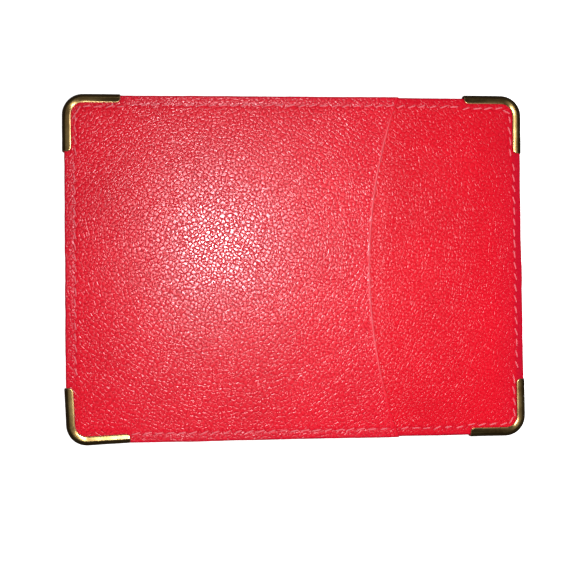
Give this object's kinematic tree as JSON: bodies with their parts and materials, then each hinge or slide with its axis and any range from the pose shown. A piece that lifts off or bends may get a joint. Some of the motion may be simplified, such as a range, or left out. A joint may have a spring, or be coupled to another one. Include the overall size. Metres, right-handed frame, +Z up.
{
  "type": "card holder",
  "caption": "Flat grained leather card holder with a slip pocket on each face, stitched all round, with pressed gilt metal corners.",
  "frame": {"origin": "centre of the resting face, below the middle of the whole outline", "axes": "+X along the long side towards the side where the front pocket opens, +Y along the short side, +Z up out of the front face"},
  "size_m": [0.1026, 0.077, 0.0049],
  "materials": {
    "red_leather": "fine pebbled goat grain, semi-gloss, full-grain red",
    "red_lining": "fine plain-weave lining cloth, dull",
    "board": "raw greyboard",
    "red_thread": "twisted polyester sewing thread, slight sheen",
    "gilt_metal": "polished gilt plating, tarnished and lightly worn"
  },
  "bodies": {
    "root": {"front_panel": "red_leather", "front_pocket": "red_leather", "front_pocket_lining": "red_lining", "front_stitching": "red_thread", "core_board": "board", "back_panel": "red_leather", "back_pocket": "red_leather", "back_pocket_lining": "red_lining", "back_stitching": "red_thread", "corner_top_left": "gilt_metal", "corner_top_right": "gilt_metal", "corner_bottom_right": "gilt_metal", "corner_bottom_left": "gilt_metal"}
  },
  "joints": []
}
